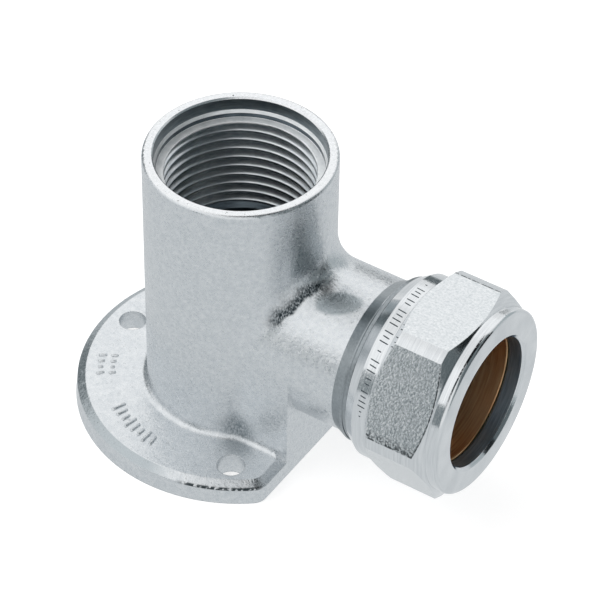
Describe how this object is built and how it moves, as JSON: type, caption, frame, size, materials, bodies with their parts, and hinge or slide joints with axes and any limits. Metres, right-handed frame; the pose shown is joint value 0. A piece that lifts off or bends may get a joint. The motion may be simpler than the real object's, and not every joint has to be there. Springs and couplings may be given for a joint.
{
  "type": "wall plate elbow",
  "caption": "Plated brass plumbing elbow that screws to a wall: a nut and ring grip a copper tube, and the bend opens upwards into a female pipe thread.",
  "frame": {"origin": "on the wall face of the plate, at the axis of the threaded boss", "axes": "+Z away from the wall along the boss and out of its female thread, +X along the branch and out of the tube socket, Y across"},
  "size_m": [0.0741, 0.0542, 0.0508],
  "materials": {
    "body_plating": "blasted forging under matt chrome plate",
    "nut_plating": "turned and milled, bright chrome plate",
    "bare_brass": "turned, slightly darkened"
  },
  "bodies": {
    "elbow": {"elbow_body": "body_plating"},
    "ring": {"compression_ring": "bare_brass"},
    "nut": {"compression_nut": "nut_plating"}
  },
  "joints": [
    {"name": "ring_travel", "type": "slide", "parent": "elbow", "child": "ring", "axis": [1, 0, 0], "range_m": [0, 0.00795]},
    {"name": "nut_turn", "type": "hinge", "parent": "ring", "child": "nut", "pos_m": [0.0293, 0, 0.0217], "axis": [1, 0, 0], "range_deg": [0, 1896]}
  ],
  "couplings": [
    {"joint": "ring_travel", "follows": "nut_turn", "m_per_rad": 0.00023873}
  ]
}
